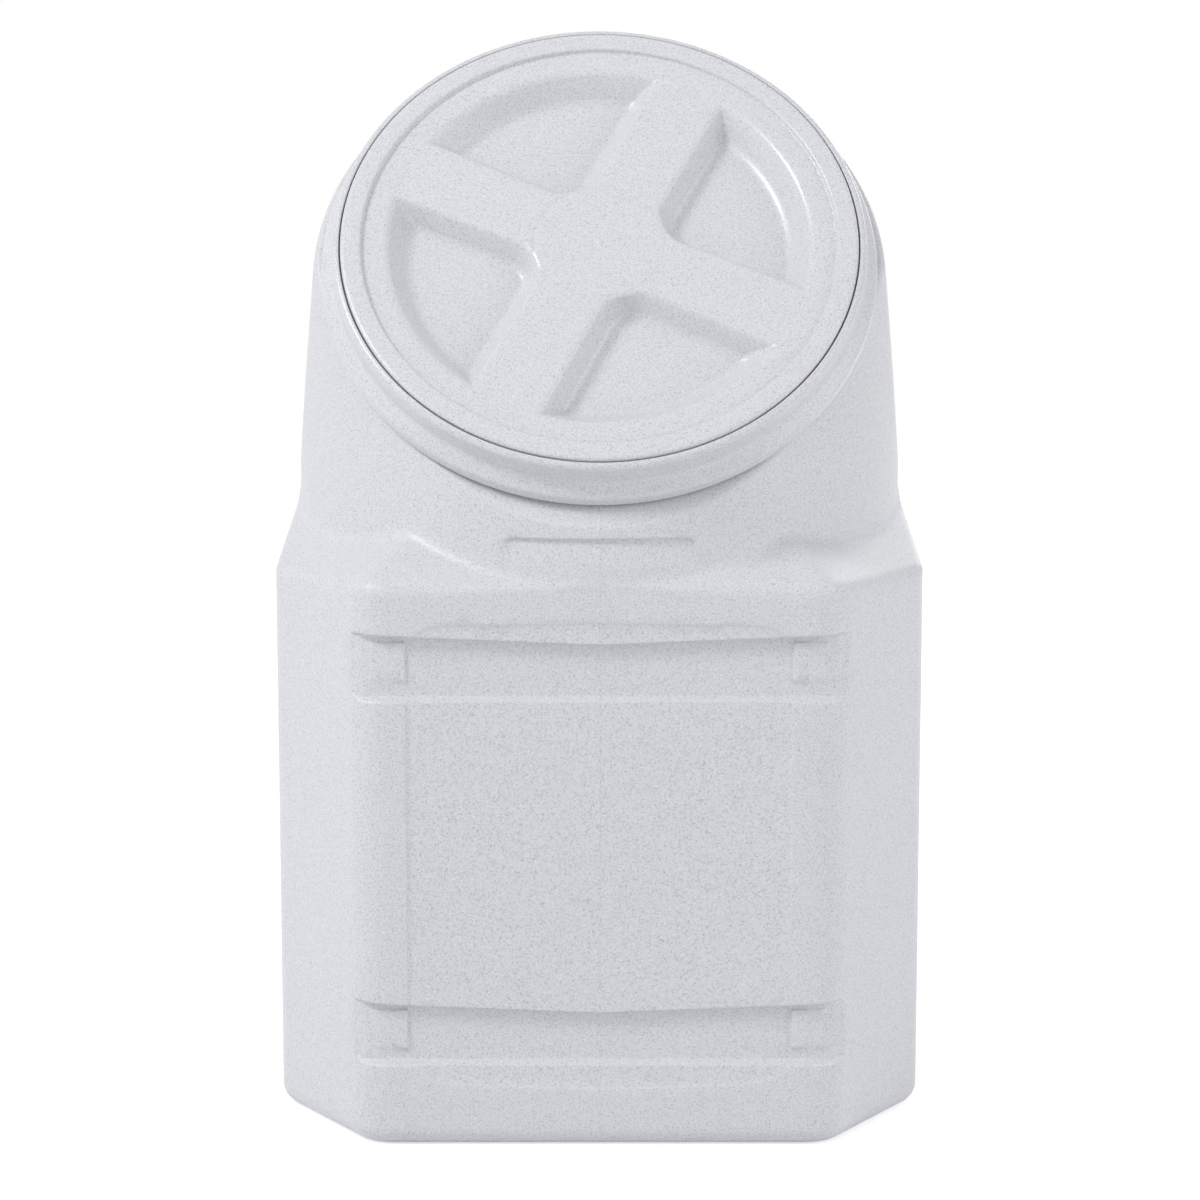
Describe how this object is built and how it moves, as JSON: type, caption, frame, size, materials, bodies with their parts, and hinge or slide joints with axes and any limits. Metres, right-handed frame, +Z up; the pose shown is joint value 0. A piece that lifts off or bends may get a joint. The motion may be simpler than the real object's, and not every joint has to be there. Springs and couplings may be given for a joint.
{
  "type": "pet food storage container",
  "caption": "Blow-moulded dry food container with bevelled corners, a tilted round neck and a large screw lid with a cross-shaped handle.",
  "frame": {"origin": "middle of the whole object's footprint, at the height of the surface it stands on", "axes": "+Z up, front with the label panel and the lid towards -Y, +X to the right seen from the front"},
  "size_m": [0.34, 0.343, 0.5685],
  "materials": {
    "body_plastic": "matt blow-moulded polyethylene, pale grey with fine darker specks",
    "lid_plastic": "satin injection-moulded plastic, pale grey with fine darker specks",
    "seal_rubber": "soft black seal rubber"
  },
  "bodies": {
    "container": {"container_body": "body_plastic", "threaded_collar": "lid_plastic", "collar_seal": "seal_rubber"},
    "seal_ring": {"lid_seal": "seal_rubber"},
    "lid": {"screw_lid": "lid_plastic"}
  },
  "joints": [
    {"name": "lid_rise", "type": "slide", "parent": "container", "child": "seal_ring", "axis": [0, -0.7944, 0.6074], "range_m": [0, 0.024]},
    {"name": "lid_unscrew", "type": "hinge", "parent": "seal_ring", "child": "lid", "pos_m": [0, -0.09004, 0.461], "axis": [0, -0.7944, 0.6074], "range_deg": [0, 720]}
  ],
  "couplings": [
    {"joint": "lid_rise", "follows": "lid_unscrew", "m_per_rad": 0.0019099}
  ]
}
